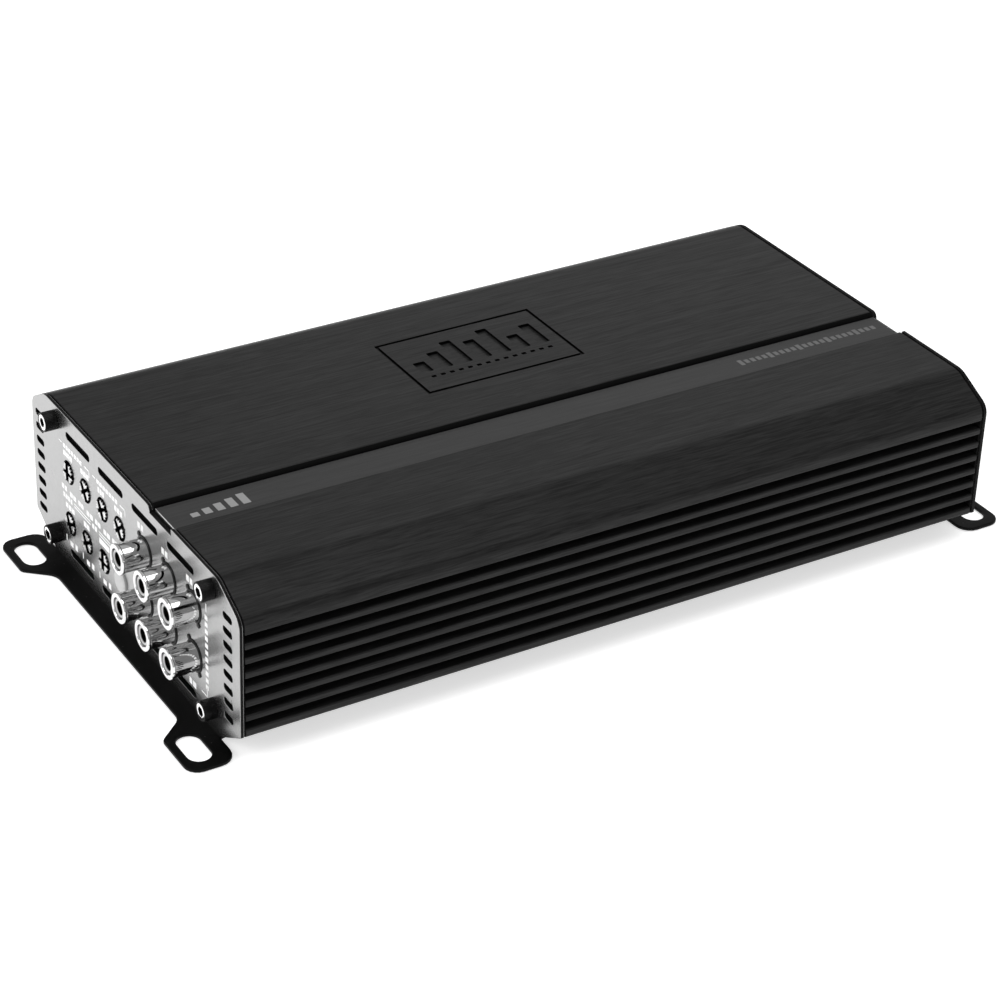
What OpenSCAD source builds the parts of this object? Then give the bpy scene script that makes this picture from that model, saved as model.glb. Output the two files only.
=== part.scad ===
// Car amplifier: a finned aluminium case on a folded steel tray with
// four slotted feet, a control end with six phono sockets, seven level and crossover
// potentiometers and a mode button, and a terminal end with speaker terminals,
// power terminals and two blade fuses.
// X runs along the case from the control end (-X) to the terminal end (+X),
// the floor is Z = 0, and -Y is the front long side.

/* [Case] */
// Length over the two end plates
body_l = 231.4; // [226:0.2:260]
// Width over the finned side walls
body_w = 126.6; // [126:0.2:130]
// Height of the vertical side walls, up to the top face
wall_h = 40.2; // [39:0.1:44]
// Height of the sloped belly of the tray, from the feet to the side walls
belly_h = 7.3; // [7:0.1:8]
// Inward slope run of the belly
belly_run = 12.5; // [12:0.1:13.5]
// Distance of the front shoulder's crease from the side wall
shoulder_in = 12.1; // [11:0.1:13]
// Drop of the front shoulder from the top face to the side wall
shoulder_drop = 6.2; // [5:0.1:6.5]
// Distance of the rear shoulder's crease from the side wall
rear_shoulder_in = 9; // [8.8:0.1:13]
// Drop of the rear shoulder from the top face to the side wall
rear_shoulder_drop = 5.1; // [5:0.1:6.5]

/* [Fins] */
// Grooves in each side wall
groove_n = 7; // [3:1:7]
// Distance from one groove to the next
groove_pitch = 4.24; // [4:0.02:4.3]
// Height of a groove
groove_h = 2.35; // [1.5:0.05:2.8]
// Depth of a groove
groove_d = 5; // [3:0.1:5.5]
// Upper edge of the top groove, above the foot of the side wall
groove_top = 29.8; // [28:0.1:30]

/* [Channel and strip] */
// Middle of the channel in the top face
channel_y = -18.95; // [-24:0.05:-14]
// Width of the channel floor
channel_w = 12.6; // [8:0.1:16]
// Depth of the channel
channel_d = 2; // [1.2:0.1:2.4]
// Thickness of the strip that lies in the channel
strip_t = 1; // [0.6:0.1:1.2]

/* [Ends] */
// Thickness of an end plate
plate_t = 1; // [0.8:0.1:1.4]
// Thickness of the gasket behind an end plate
gasket_t = 0.5; // [0.3:0.1:0.8]
// Distance of the end screws from the centre plane
screw_y = 47.9; // [47.8:0.1:48.6]
// Height of the lower end screws
screw_low_z = 8.1; // [7.9:0.1:8.4]
// Distance of the upper end screws below the top face
screw_top_drop = 4.9; // [4.2:0.1:5]

/* [Feet] */
// Thickness of the steel tray
tray_t = 1; // [0.8:0.1:1.2]
// How far the tray stands out past each end plate
flange_out = 5.3; // [5:0.1:7]
// How far each foot stands out past its end plate
foot_out = 13; // [12.8:0.1:16]
// Width of a slot in a foot
slot_w = 6.5; // [4.5:0.1:6.8]
// Length of a slot in a foot, end to end
slot_l = 12.4; // [8:0.1:12.6]
// Distance of a slot past its end plate
slot_out = 7.4; // [7.2:0.1:8]
// Distance of the slots from the centre plane
slot_y = 51.8; // [51:0.1:52]

/* [Phono sockets] */
// Columns of sockets
rca_cols = 3; // [3:1:3]
// Distance between sockets across the case
rca_pitch_y = 14.4; // [14:0.1:14.6]
// Distance between the two rows
rca_pitch_z = 14.9; // [14:0.1:15]
// Place of the socket nearest the front side
rca_y = -37.65; // [-37.7:0.05:-37]
// Height of the lower row
rca_z = 17.8; // [17.4:0.1:18.1]
// How far a socket stands out of the end plate
rca_out = 8; // [7:0.1:9]
// Outside diameter of a socket's shell
rca_d = 8; // [7.8:0.1:8.2]
// Diameter of the lip at the mouth of a shell
rca_lip_d = 8.5; // [8.3:0.1:8.8]

/* [Controls] */
// Distance between the control shafts
pot_pitch = 10.95; // [10.9:0.01:11]
// Place of the shaft nearest the rear side
pot_y = 39.35; // [39:0.05:39.4]
// Height of the lower row of shafts
pot_z = 15.2; // [15.2:0.1:15.4]
// Distance between the two rows of shafts
pot_row = 16.2; // [16:0.05:16.4]
// Diameter of a control shaft
shaft_d = 6; // [5:0.1:6]
// Diameter of the holes for the control shafts
pot_hole_d = 7; // [6.6:0.1:7.2]
// Travel of the mode button
button_travel = 1.5; // [1:0.1:1.5]

/* [Hidden] */
$fn = 48;

// case levels and planes
side_z = tray_t + belly_h;
top_z = side_z + wall_h;
end_x = body_l / 2;
case_x = end_x - plate_t - gasket_t;
half_w = body_w / 2;
flat_y = half_w - belly_run;
wall_in = 50;
ceiling_z = top_z - 4.5;
ledge_z = side_z + 3.2;
rail_in = 39.5;
rail_out = 46;
screw_top_z = top_z - screw_top_drop;
corner_r = 4;
crease_r = 8;
gasket_window = [4.4, 41.4];
lip_r = 1.8;

// boards
board_z = 7.1;
board_t = 1.6;
board_top = board_z + board_t;
board_x = case_x - 1.6;
board_y = 44.4;
upper_board_top = pot_z + pot_row - 6.5;

// screws
thread_r = 1.5;
thread_hole_r = 1.55;
cap_r = 2.75;
cap_h = 3.6;
low_head_h = 1.65;
hex_r = 1.5;
hex_floor = 0.45;
port_r = 3.2;
sink_h = tray_t - 0.1;
base_screw_x = [-100, 10, 100];
base_screw_y = 42.75;
board_screw_x = [-85, -5, 85];
board_screw_y = 41.8;

// power stage along both side walls
device_n = 6;
device_pitch = 18;
device_x0 = -50;
device_z = 14.5;
device_h = 15;
pad_t = 0.3;
device_t = 4.5;
bar_t = 2;
bar_z = 23;
clamp_screw_x = [-41, -5, 31];
device_y = wall_in - pad_t - device_t;
bar_y = device_y - bar_t;
power_stage_x = [device_x0 - 7, device_x0 + (device_n - 1) * device_pitch + 7];

// feet: set back from the side walls, and their width along Y
foot_in = 2;
foot_w = 16;

// engraved frame in the top face
frame_c = [1.9, 20.95];
frame_size = [50.4, 31];
frame_line = 0.7;
frame_depth = 0.35;

// vents in the end plates
vent_h = 2.2;
vent_l = 15.6;
vent_pitch = 21;
vent_y0 = -30.4;
vent_top_z = side_z + 34.5;
vent_low_z = side_z - 2.45;
side_vent_l = 5.2;
side_vent_h = 2;
side_vent_n = 8;
side_vent_y = [-56.75, 58.45];

// terminals
speaker_n = 8;
speaker_pitch = 6.2;
speaker_y0 = -39.4;
speaker_w = speaker_n * speaker_pitch + 1.4;
speaker_mid = speaker_y0 + (speaker_n - 1) * speaker_pitch / 2;
speaker_top = 22.1;
speaker_hole = [4.8, 5.2];
speaker_hole_z = 10.8;
power_n = 3;
power_pitch = 11;
power_y0 = 16.2;
power_w = power_n * power_pitch + 1;
power_mid = power_y0 + (power_n - 1) * power_pitch / 2;
power_top = 23.9;
power_hole = [7.6, 7.6];
power_hole_z = 10.9;
block_out = 8;
block_x = end_x + block_out;
hole_depth = 12;
clamp_t = 0.9;
terminal_screw_x = end_x + 4;

// fuses
fuse_mid = 27;
fuse_w = 19.1;
fuse_t = 5.1;
fuse_z = [30.1, 37.1];
holder_y = 11.6;
holder_z = [26.3, 40.9];
holder_x = [end_x - 13, end_x + 2];
blade_gap = 14;

// sockets, shafts and the button
shell_x = -end_x - rca_out;
shell_in = 6;
shell_wall = 1;
insulator_bore = 2;
shaft_out = 0.5;
collar_d = 9;
collar_out = 0.3;
housing_x = -end_x + plate_t;
housing_back = housing_x + 14;
body_front = -end_x + 2;
body_back = body_front + 6.8;
button_y = pot_y - 3 * pot_pitch;
rca_place = [for (row = [1, 0], col = [0:rca_cols - 1])
    [rca_y + col * rca_pitch_y, rca_z + row * rca_pitch_z]];
pot_place = [for (i = [0:6]) i < 4
    ? [pot_y - i * pot_pitch, pot_z + pot_row]
    : [pot_y - (i - 4) * pot_pitch, pot_z]];
pot_rest = [90, 55, 60, 50, 65, 60, 90];

// points round one corner b between a and c, with radius r
function unit(v) = v / norm(v);
function flat(p) = [p.x, p.y];
function corner(a, b, c, r, n) =
    r == 0 ? [b] :
    let (u = unit(a - b), v = unit(c - b), half = acos(u * v) / 2,
         centre = b + unit(u + v) * r / sin(half),
         s = b + u * r / tan(half) - centre, e = b + v * r / tan(half) - centre,
         a0 = atan2(s.y, s.x),
         turn = (atan2(e.y, e.x) - a0 + 540) % 360 - 180)
    [for (i = [0:n]) centre + r * [cos(a0 + turn * i / n), sin(a0 + turn * i / n)]];
// an outline from [x, y, corner radius] points
function rounded(p, n = 6) = [for (i = [0:len(p) - 1])
    each corner(flat(p[(i + len(p) - 1) % len(p)]), flat(p[i]),
                flat(p[(i + 1) % len(p)]), p[i].z, n)];

// section of the roof, shoulders and side walls, in Y and Z
function hood(inset, foot) = [
    [inset - half_w, foot, 0],
    [inset - half_w, top_z - shoulder_drop, corner_r],
    [shoulder_in - half_w, top_z - inset, crease_r],
    [half_w - rear_shoulder_in, top_z - inset, crease_r],
    [half_w - inset, top_z - rear_shoulder_drop, corner_r],
    [half_w - inset, foot, 0]
];

// a whole end, with the belly below the side walls
function end_outline(inset) = rounded(concat(hood(inset, side_z), [
    [flat_y, tray_t + inset, 0], [-flat_y, tray_t + inset, 0]
]));

module along_x(x0, x1) {
    translate([x0, 0, 0]) rotate([90, 0, 90]) linear_extrude(x1 - x0) children();
}
module box(x, y, z) {
    translate([x[0], y[0], z[0]]) cube([x[1] - x[0], y[1] - y[0], z[1] - z[0]]);
}
module rod_x(r, x, y, z) {
    translate([x[0], y, z]) rotate([0, 90, 0]) cylinder(r = r, h = x[1] - x[0]);
}
module rod_z(r, z, x, y) {
    translate([x, y, z[0]]) cylinder(r = r, h = z[1] - z[0]);
}
module rod_y(r, y, x, z) {
    translate([x, y[1], z]) rotate([90, 0, 0]) cylinder(r = r, h = y[1] - y[0]);
}
module slot_2d(l, h) {
    square([l - h, h], center = true);
    for (s = [-1, 1]) translate([s * (l - h) / 2, 0]) circle(h / 2);
}

// the channel in the top face, with a rounded rear edge
module channel_2d() {
    y0 = channel_y - channel_w / 2;
    y1 = channel_y + channel_w / 2;
    polygon(concat(
        [[y0, top_z + 1], [y0, top_z - channel_d], [y1, top_z - channel_d]],
        [for (i = [0:6]) [y1 + lip_r - lip_r * cos(15 * i), top_z - lip_r + lip_r * sin(15 * i)]],
        [[y1 + lip_r, top_z + 1]]
    ));
}

module end_screw_holes_2d(r) {
    for (y = [-screw_y, screw_y], z = [screw_low_z, screw_top_z]) translate([y, z]) circle(r);
}

// shell of the extruded case, open below
module hood_2d() {
    difference() {
        polygon(rounded(hood(0, side_z)));
        polygon([[-wall_in, ledge_z], [-wall_in, ceiling_z - 3.5], [-wall_in + 5, ceiling_z],
                 [wall_in - 5, ceiling_z], [wall_in, ceiling_z - 3.5], [wall_in, ledge_z]]);
        translate([-board_y - 0.6, side_z - 1]) square([2 * board_y + 1.2, 6]);
    }
}

// fins, board rails, screw ports and the engraved frame
module heatsink_case() color([0.16, 0.16, 0.17]) {
    difference() {
        union() {
            along_x(-case_x, case_x) hood_2d();
            for (s = [0, 1]) mirror([0, s, 0]) {
                box([-case_x, case_x], [rail_in, rail_out], [tray_t, board_z]);
                box([-case_x, case_x], [rail_out - 1, wall_in], [board_z - 2.2, side_z + 0.8]);
                rod_x(port_r, [-case_x, case_x], screw_y, screw_low_z);
                rod_x(port_r, [-case_x, case_x], screw_y, screw_top_z);
            }
        }
        along_x(-case_x - 1, case_x + 1) {
            for (s = [-1, 1], i = [0:groove_n - 1])
                translate([s * half_w, side_z + groove_top - i * groove_pitch - groove_h / 2])
                    square([2 * groove_d, groove_h], center = true);
            channel_2d();
            end_screw_holes_2d(thread_hole_r);
        }
        for (x = base_screw_x, s = [-1, 1])
            rod_z(thread_hole_r, [tray_t - 1, tray_t + 5], x, s * base_screw_y);
        for (x = board_screw_x, s = [-1, 1])
            rod_z(thread_hole_r, [board_z - 4.6, board_z + 1], x, s * board_screw_y);
        for (x = clamp_screw_x, s = [0, 1]) mirror([0, s, 0])
            rod_y(thread_hole_r, [wall_in - 1, wall_in + 5], x, bar_z);
        translate([frame_c.x, frame_c.y, top_z - frame_depth]) linear_extrude(1) difference() {
            square(frame_size, center = true);
            square(frame_size - [2, 2] * frame_line, center = true);
        }
    }
}

module accent_strip() color([0.3, 0.3, 0.31]) {
    w = channel_w - 0.2;
    translate([-case_x, channel_y - w / 2, top_z - channel_d]) cube([2 * case_x, w, strip_t]);
}

// a flat flange with a foot at each corner, seen from above, at the +X end
module flange_2d() {
    x0 = end_x - 0.4;
    x1 = end_x + flange_out;
    x2 = end_x + foot_out;
    y0 = flat_y - 0.2;
    y1 = half_w - foot_in;
    foot = [[case_x - 1, y0, 0], [x0, y0 + 0.5, 1], [x0, y1, 4.5], [x2, y1, 4],
            [x2, y1 - foot_w, 2.4], [x1, y1 - foot_w - 6.6, 5]];
    polygon(rounded(concat(foot,
        [for (i = [5:-1:0]) [foot[i].x, -foot[i].y, foot[i].z]]), 5));
}

module base_tray() color([0.06, 0.06, 0.065]) {
    slope = belly_h / belly_run;
    inner = tray_t * sqrt(1 + slope * slope);
    low_y = flat_y - tray_t / slope;
    difference() {
        union() {
            along_x(-case_x, case_x) polygon([
                [-low_y, 0], [low_y, 0], [half_w, side_z], [half_w - inner / slope, side_z],
                [low_y + (tray_t - inner) / slope, tray_t],
                [-low_y - (tray_t - inner) / slope, tray_t],
                [inner / slope - half_w, side_z], [-half_w, side_z]
            ]);
            for (s = [0, 1]) mirror([s, 0, 0]) linear_extrude(tray_t) flange_2d();
        }
        for (x = [-1, 1], y = [-1, 1])
            translate([x * (end_x + slot_out), y * slot_y, -1])
                linear_extrude(tray_t + 2) rotate(90) slot_2d(slot_l, slot_w);
        for (x = base_screw_x, y = [-base_screw_y, base_screw_y]) translate([x, y, 0]) {
            translate([0, 0, -0.5]) cylinder(r = 1.7, h = tray_t + 1);
            translate([0, 0, -0.1]) cylinder(r1 = 3.15, r2 = 1.7, h = sink_h + 0.1);
        }
    }
}

module end_plate_2d() {
    difference() {
        polygon(end_outline(0));
        channel_2d();
        end_screw_holes_2d(1.7);
        for (i = [0:3]) translate([vent_y0 + i * vent_pitch, 0]) {
            translate([0, vent_top_z]) slot_2d(vent_l, vent_h);
            translate([0, vent_low_z]) slot_2d(vent_l, vent_h);
        }
        for (y = side_vent_y, i = [0:side_vent_n - 1])
            translate([y, side_z + 2.2 + i * groove_pitch]) slot_2d(side_vent_l, side_vent_h);
    }
}

module control_end_plate() color([0.78, 0.78, 0.8]) {
    along_x(-end_x, plate_t - end_x) difference() {
        end_plate_2d();
        for (p = rca_place) translate(p) circle(collar_d / 2 + 0.1);
        for (p = pot_place) translate(p) circle(pot_hole_d / 2);
        translate([button_y, pot_z]) circle(pot_hole_d / 2);
    }
}

module terminal_end_plate() color([0.78, 0.78, 0.8]) {
    along_x(end_x - plate_t, end_x) difference() {
        end_plate_2d();
        translate([speaker_mid, (board_top + speaker_top) / 2])
            square([speaker_w + 0.6, speaker_top - board_top + 0.6], center = true);
        translate([power_mid, (board_top + power_top) / 2])
            square([power_w + 0.6, power_top - board_top + 0.6], center = true);
        translate([fuse_mid, (holder_z[0] + holder_z[1]) / 2])
            square([2 * holder_y + 0.6, holder_z[1] - holder_z[0] + 0.6], center = true);
    }
}

module gasket(x0, x1) color([0.03, 0.03, 0.03]) {
    along_x(x0, x1) difference() {
        polygon(end_outline(0.5));
        channel_2d();
        end_screw_holes_2d(1.7);
        translate([-board_y - 0.2, gasket_window[0]])
            square([2 * board_y + 0.4, gasket_window[1] - gasket_window[0]]);
    }
}

// hexagon-socket screws, four at each end: tall heads at the control end, low at the other
module end_screws() color([0.05, 0.05, 0.05]) {
    for (s = [0, 1], y = [-screw_y, screw_y], z = [screw_low_z, screw_top_z]) {
        h = s == 0 ? low_head_h : cap_h;
        mirror([s, 0, 0]) difference() {
            union() {
                rod_x(cap_r, [end_x, end_x + h], y, z);
                rod_x(thread_r, [end_x - 9, end_x + 0.5], y, z);
            }
            translate([end_x + hex_floor * h, y, z]) rotate([0, 90, 0])
                cylinder(r = hex_r, h = h, $fn = 6);
        }
    }
}

// countersunk screws through the tray, flush with its underside
module base_screws() color([0.08, 0.08, 0.08]) {
    for (x = base_screw_x, y = [-base_screw_y, base_screw_y]) translate([x, y, 0]) difference() {
        union() {
            cylinder(r1 = 2.9, r2 = 1.65, h = sink_h);
            cylinder(r = thread_r, h = tray_t + 4.5);
        }
        translate([-2, -0.35, -1]) cube([4, 0.7, 1.5]);
        translate([-0.35, -2, -1]) cube([0.7, 4, 1.5]);
    }
}

module main_board() color([0.05, 0.2, 0.1]) {
    difference() {
        box([-board_x, board_x], [-board_y, board_y], [board_z, board_top]);
        for (x = board_screw_x, y = [-board_screw_y, board_screw_y])
            rod_z(1.7, [board_z - 1, board_top + 1], x, y);
    }
}

module board_screws() color([0.75, 0.75, 0.76]) {
    for (x = board_screw_x, y = [-board_screw_y, board_screw_y]) translate([x, y, 0]) difference() {
        union() {
            translate([0, 0, board_top]) cylinder(r = 2.5, h = 1.8);
            translate([0, 0, board_z - 4]) cylinder(r = thread_r, h = board_t + 4.2);
        }
        translate([-2, -0.35, board_top + 1]) cube([4, 0.7, 2]);
        translate([-0.35, -2, board_top + 1]) cube([0.7, 4, 2]);
    }
}

module insulation_sheet() color([0.85, 0.8, 0.6]) {
    box([-105, 105], [1 - rail_in, rail_in - 1], [tray_t, tray_t + 0.5]);
}

module control_board() color([0.05, 0.2, 0.1]) {
    box([body_front, body_front + 17], [0.4, board_y], [upper_board_top - board_t, upper_board_top]);
}

module control_spacers() color([0.75, 0.65, 0.35]) {
    for (y = [4, 40.5])
        rod_z(2.2, [board_top, upper_board_top - board_t], body_front + 13.5, y);
}

module board_header() color([0.04, 0.04, 0.04]) {
    box([body_front + 12, body_front + 15], [10, 34], [board_top, upper_board_top - board_t]);
}

// one black housing behind the end plate carries all six sockets
module rca_housing() color([0.04, 0.04, 0.04]) {
    top = rca_z + rca_pitch_z + 7.2;
    y1 = rca_y + (rca_cols - 1) * rca_pitch_y;
    difference() {
        union() {
            box([housing_x, housing_back], [rca_y - 6.9, y1 + 6.9], [board_top, top]);
            for (p = rca_place) {
                rod_x(collar_d / 2, [-end_x - collar_out, housing_x + 1], p[0], p[1]);
                for (s = [-1, 1])
                    rod_x(0.8, [-end_x - collar_out, -end_x], p[0] + s * 2.9, p[1] + s * 4.1);
            }
        }
        for (p = rca_place) rod_x(rca_d / 2, [-end_x - 3, -end_x + shell_in], p[0], p[1]);
    }
}

// nickel shell with a lip at its mouth
module rca_shell(i) color([0.85, 0.85, 0.86]) {
    p = rca_place[i];
    difference() {
        union() {
            rod_x(rca_d / 2, [shell_x, -end_x + shell_in], p[0], p[1]);
            rod_x(rca_lip_d / 2, [shell_x, shell_x + 1], p[0], p[1]);
        }
        rod_x(rca_d / 2 - shell_wall, [shell_x - 1, -end_x + shell_in + 1], p[0], p[1]);
    }
}

module rca_insulators() color([0.92, 0.92, 0.9]) {
    for (p = rca_place) difference() {
        rod_x(rca_d / 2 - shell_wall, [shell_x + 0.4, -end_x + shell_in], p[0], p[1]);
        rod_x(insulator_bore, [shell_x - 1, -end_x + shell_in - 1], p[0], p[1]);
    }
}

module rca_contacts() color([0.8, 0.65, 0.3]) {
    for (p = rca_place) difference() {
        rod_x(insulator_bore, [shell_x + 3.4, -end_x + shell_in - 1], p[0], p[1]);
        rod_x(1.6, [shell_x, -end_x + shell_in - 2], p[0], p[1]);
    }
}

module pot_body(i) color([0.05, 0.05, 0.06]) {
    p = pot_place[i];
    difference() {
        box([body_front, body_back], [p[0] - 4.9, p[0] + 4.9], [p[1] - 6.5, p[1] + 5]);
        rod_x(shaft_d / 2 + 0.05, [body_front - 1, body_front + 4.2], p[0], p[1]);
    }
}

// split control shaft: a narrow split and a wider driver slot across it
module pot_shaft(i) color([0.6, 0.6, 0.62]) {
    p = pot_place[i];
    tip = -end_x - shaft_out;
    translate([tip, p[0], p[1]]) rotate([pot_rest[i], 0, 0]) difference() {
        rod_x(shaft_d / 2, [0, body_front + 4 - tip], 0, 0);
        translate([-1, -0.4, -4]) cube([3.4, 0.8, 8]);
        translate([-1, -4, -0.85]) cube([2.2, 8, 1.7]);
    }
}

module mode_switch() color([0.05, 0.05, 0.06]) {
    difference() {
        box([body_front + 1.6, body_front + 11], [button_y - 4.6, button_y + 4.6],
            [board_top, pot_z + 5]);
        rod_x(1.75, [body_front, body_front + 7], button_y, pot_z);
    }
}

module mode_button() color([0.93, 0.93, 0.92]) {
    rod_x(3.3, [-end_x - 0.8, body_front], button_y, pot_z);
    rod_x(1.7, [body_front - 1, body_front + 5], button_y, pot_z);
}

// a block of screw terminals, open towards +X, with its driver holes on top
module terminal_block(n, y0, pitch, w, x0, top, hole, hole_z, screw_r) {
    mid = y0 + (n - 1) * pitch / 2;
    difference() {
        box([x0, block_x], [mid - w / 2, mid + w / 2], [board_top, top]);
        for (i = [0:n - 1]) {
            y = y0 + i * pitch;
            box([block_x - hole_depth, block_x + 1], [y - hole[0] / 2, y + hole[0] / 2],
                [hole_z, hole_z + hole[1]]);
            rod_z(screw_r, [hole_z + hole[1] - 0.5, top + 1], terminal_screw_x, y);
        }
    }
}

module terminal_clamps(n, y0, pitch, hole, hole_z) {
    for (i = [0:n - 1])
        box([block_x - hole_depth, block_x - 0.6],
            [y0 + i * pitch - hole[0] / 2 + 0.1, y0 + i * pitch + hole[0] / 2 - 0.1],
            [hole_z, hole_z + clamp_t]);
}

module terminal_screws(n, y0, pitch, hole, hole_z, top, r) {
    for (i = [0:n - 1]) translate([terminal_screw_x, y0 + i * pitch, 0]) difference() {
        translate([0, 0, hole_z + hole[1]]) cylinder(r = r, h = top - 0.5 - hole_z - hole[1]);
        translate([-3, -0.4, top - 1.5]) cube([6, 0.8, 3]);
    }
}

module speaker_block() color([0.05, 0.05, 0.05]) {
    terminal_block(speaker_n, speaker_y0, speaker_pitch, speaker_w, end_x - 13, speaker_top,
                   speaker_hole, speaker_hole_z, 1.7);
}
module speaker_clamps() color([0.8, 0.65, 0.3]) {
    terminal_clamps(speaker_n, speaker_y0, speaker_pitch, speaker_hole, speaker_hole_z);
}
module speaker_screws() color([0.8, 0.8, 0.8]) {
    terminal_screws(speaker_n, speaker_y0, speaker_pitch, speaker_hole, speaker_hole_z,
                    speaker_top, 1.7);
}
module power_block() color([0.05, 0.05, 0.05]) {
    terminal_block(power_n, power_y0, power_pitch, power_w, end_x - 9, power_top,
                   power_hole, power_hole_z, 2.5);
}
module power_clamps() color([0.8, 0.65, 0.3]) {
    terminal_clamps(power_n, power_y0, power_pitch, power_hole, power_hole_z);
}
module power_screws() color([0.8, 0.8, 0.8]) {
    terminal_screws(power_n, power_y0, power_pitch, power_hole, power_hole_z, power_top, 2.5);
}

// two fuses lie flat, one above the other; the holder stands on two legs
module fuse_holder() color([0.05, 0.05, 0.05]) {
    difference() {
        union() {
            box(holder_x, [fuse_mid - holder_y, fuse_mid + holder_y], holder_z);
            for (s = [-1, 1])
                box([holder_x[0], holder_x[0] + 3], [fuse_mid + s * 9 - 1.5, fuse_mid + s * 9 + 1.5],
                    [board_top, holder_z[0] + 1]);
        }
        for (z = fuse_z) {
            box([end_x - 4, holder_x[1] + 1], [fuse_mid - fuse_w / 2 - 0.2, fuse_mid + fuse_w / 2 + 0.2],
                [z - fuse_t / 2 - 0.2, z + fuse_t / 2 + 0.2]);
            for (s = [-1, 1])
                box([end_x - 11.5, end_x - 3],
                    [fuse_mid + s * blade_gap / 2 - 2.7, fuse_mid + s * blade_gap / 2 + 2.7],
                    [z - 0.4, z + 0.4]);
        }
    }
}

module fuse(z) color([0.1, 0.55, 0.2]) {
    box([end_x - 4, end_x + 6.5], [fuse_mid - fuse_w / 2, fuse_mid + fuse_w / 2],
        [z - fuse_t / 2, z + fuse_t / 2]);
    for (s = [-1, 1])
        box([end_x - 11, end_x - 3.5],
            [fuse_mid + s * blade_gap / 2 - 2.6, fuse_mid + s * blade_gap / 2 + 2.6],
            [z - 0.33, z + 0.33]);
}

// power devices stand on the board's edges, their backs to the side walls
module power_transistors() color([0.07, 0.07, 0.07]) {
    for (s = [0, 1], i = [0:device_n - 1]) mirror([0, s, 0])
        translate([device_x0 + i * device_pitch, 0, 0]) {
            box([-5, 5], [device_y, device_y + device_t], [device_z, device_z + device_h]);
            for (k = [-1, 0, 1]) translate([2.54 * k, 0, 0]) {
                box([-0.4, 0.4], [bar_y - 0.3, device_y + 1], [device_z + 0.4, device_z + 1.1]);
                box([-0.4, 0.4], [bar_y - 0.3, bar_y + 0.4], [board_top, device_z + 1.1]);
            }
        }
}

module thermal_pads() color([0.6, 0.65, 0.7]) {
    for (s = [0, 1]) mirror([0, s, 0]) difference() {
        box(power_stage_x, [wall_in - pad_t, wall_in], [device_z, device_z + device_h]);
        for (x = clamp_screw_x) rod_y(1.7, [wall_in - 1, wall_in + 1], x, bar_z);
    }
}

module clamp_bars() color([0.65, 0.65, 0.66]) {
    for (s = [0, 1]) mirror([0, s, 0]) difference() {
        box(power_stage_x, [bar_y, device_y], [bar_z - 3.5, bar_z + 3.5]);
        for (x = clamp_screw_x) rod_y(1.7, [bar_y - 1, device_y + 1], x, bar_z);
    }
}

module clamp_screws() color([0.75, 0.75, 0.76]) {
    for (s = [0, 1], x = clamp_screw_x) mirror([0, s, 0]) difference() {
        union() {
            rod_y(2.6, [bar_y - 2.1, bar_y], x, bar_z);
            rod_y(thread_r, [bar_y - 0.5, wall_in + 4], x, bar_z);
        }
        box([x - 0.4, x + 0.4], [bar_y - 3, bar_y - 1.2], [bar_z - 3, bar_z + 3]);
    }
}

module filter_capacitors() color([0.1, 0.1, 0.14]) {
    for (x = [60, 80.5], y = [-30.5, -10.5]) rod_z(9, [board_top, board_top + 28], x, y);
}

module small_capacitors() color([0.12, 0.12, 0.15]) {
    for (i = [0:7]) rod_z(4, [board_top, board_top + 12], -68 + 12 * i, 2);
}

module output_inductors() color([0.55, 0.3, 0.12]) {
    for (i = [0:3]) translate([-62 + 26 * i, -24, board_top]) difference() {
        cylinder(r = 8, h = 16);
        translate([0, 0, 2]) rotate_extrude() translate([6, 0]) square([3, 12]);
    }
}

// ring core, its winding a hollow ring round it
module toroid_core() color([0.35, 0.35, 0.3]) {
    translate([67, 21.5, board_top + 3]) rotate_extrude() translate([9.5, 0]) square([7, 14]);
}
module toroid_winding() color([0.7, 0.35, 0.12]) {
    translate([67, 21.5, board_top]) rotate_extrude() difference() {
        translate([7, 0]) square([12, 20]);
        translate([9.5, 3]) square([7, 14]);
    }
}

heatsink_case();
accent_strip();
base_tray();
control_end_plate();
gasket(plate_t - end_x, -case_x);  // control_gasket
terminal_end_plate();
gasket(case_x, end_x - plate_t);  // terminal_gasket
end_screws();
base_screws();
main_board();
board_screws();
insulation_sheet();
control_board();
control_spacers();
board_header();
rca_housing();
rca_shell(0);  // rca_shell_1
rca_shell(1);  // rca_shell_2
rca_shell(2);  // rca_shell_3
rca_shell(3);  // rca_shell_4
rca_shell(4);  // rca_shell_5
rca_shell(5);  // rca_shell_6
rca_insulators();
rca_contacts();
pot_body(0);  // pot_body_1
pot_body(1);  // pot_body_2
pot_body(2);  // pot_body_3
pot_body(3);  // pot_body_4
pot_body(4);  // pot_body_5
pot_body(5);  // pot_body_6
pot_body(6);  // pot_body_7
pot_shaft(0);  // pot_shaft_1
pot_shaft(1);  // pot_shaft_2
pot_shaft(2);  // pot_shaft_3
pot_shaft(3);  // pot_shaft_4
pot_shaft(4);  // pot_shaft_5
pot_shaft(5);  // pot_shaft_6
pot_shaft(6);  // pot_shaft_7
mode_switch();
mode_button();
speaker_block();
speaker_clamps();
speaker_screws();
power_block();
power_clamps();
power_screws();
fuse_holder();
fuse(fuse_z[1]);  // upper_fuse
fuse(fuse_z[0]);  // lower_fuse
power_transistors();
thermal_pads();
clamp_bars();
clamp_screws();
filter_capacitors();
small_capacitors();
output_inductors();
toroid_core();
toroid_winding();
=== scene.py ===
"""Looks of the car amplifier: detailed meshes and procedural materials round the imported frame."""

import math

import bmesh
import bpy
from mathutils import Matrix, Vector
from mathutils.geometry import tessellate_polygon


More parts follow.
